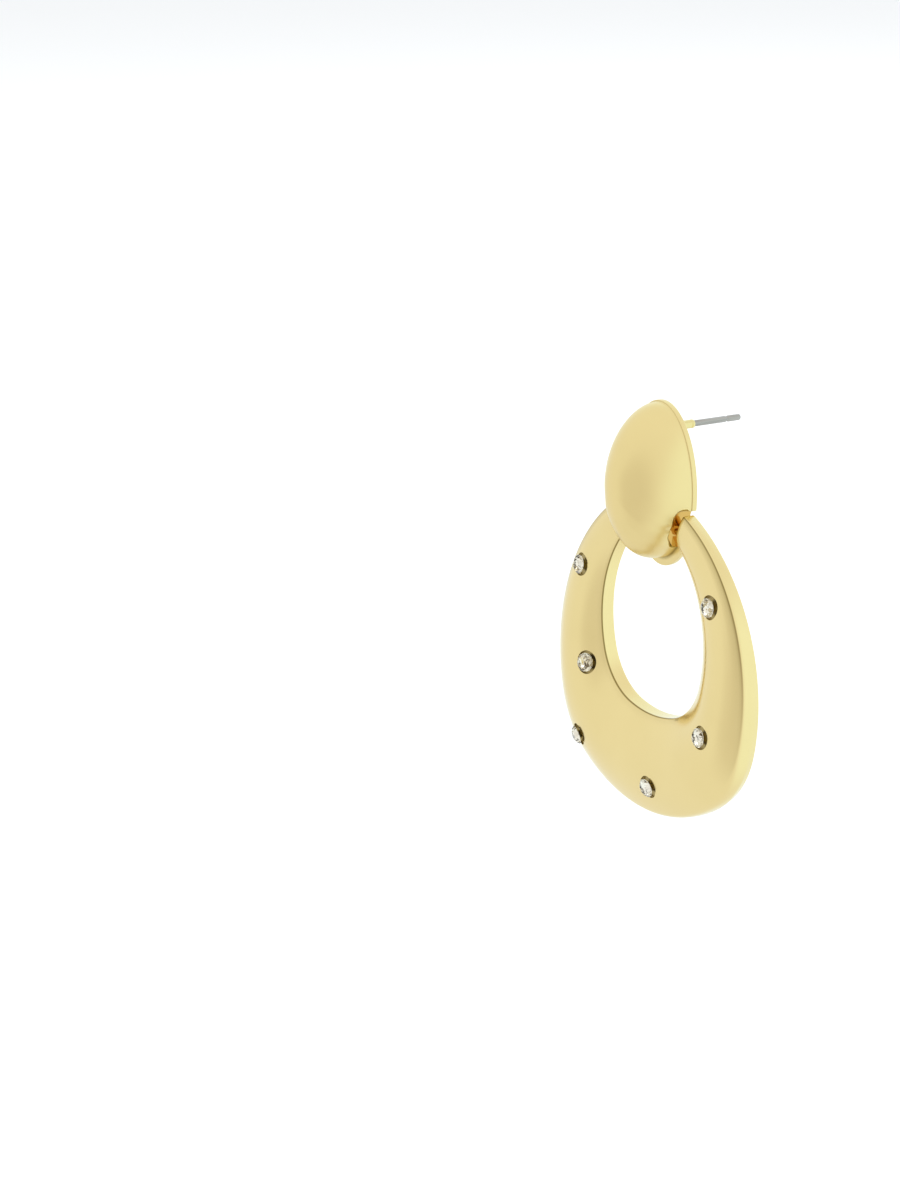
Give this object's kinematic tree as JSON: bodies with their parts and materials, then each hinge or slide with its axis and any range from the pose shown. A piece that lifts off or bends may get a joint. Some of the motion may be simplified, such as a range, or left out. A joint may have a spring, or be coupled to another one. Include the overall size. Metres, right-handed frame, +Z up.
{
  "type": "doorknocker earring",
  "caption": "Pierced-ear drop earring: a domed oval stud with a wide domed hoop hinged below it, set with small round stones.",
  "frame": {"origin": "where the ear post leaves the flat back of the oval, against the front of the ear lobe", "axes": "+Z up as worn, the polished front faces -Y, +Y along the post into the ear, +X to the right seen from the front"},
  "size_m": [0.0416, 0.0198, 0.0539],
  "materials": {
    "gold_plate": "polished pale gold plating",
    "steel": "drawn steel wire, lightly streaked along its length",
    "crystal": "clear cut stone with a silver foil behind it"
  },
  "bodies": {
    "stud": {"oval_top": "gold_plate", "ear_post": "steel"},
    "drop": {"drop_hoop": "gold_plate", "hinge_pin": "gold_plate", "stone_1": "crystal", "stone_2": "crystal", "stone_3": "crystal", "stone_4": "crystal", "stone_5": "crystal", "stone_6": "crystal"}
  },
  "joints": [
    {"name": "drop_swing", "type": "hinge", "parent": "stud", "child": "drop", "pos_m": [0, -0.0014, -0.0119], "axis": [1, 0, 0], "range_deg": [-120, 110]}
  ]
}
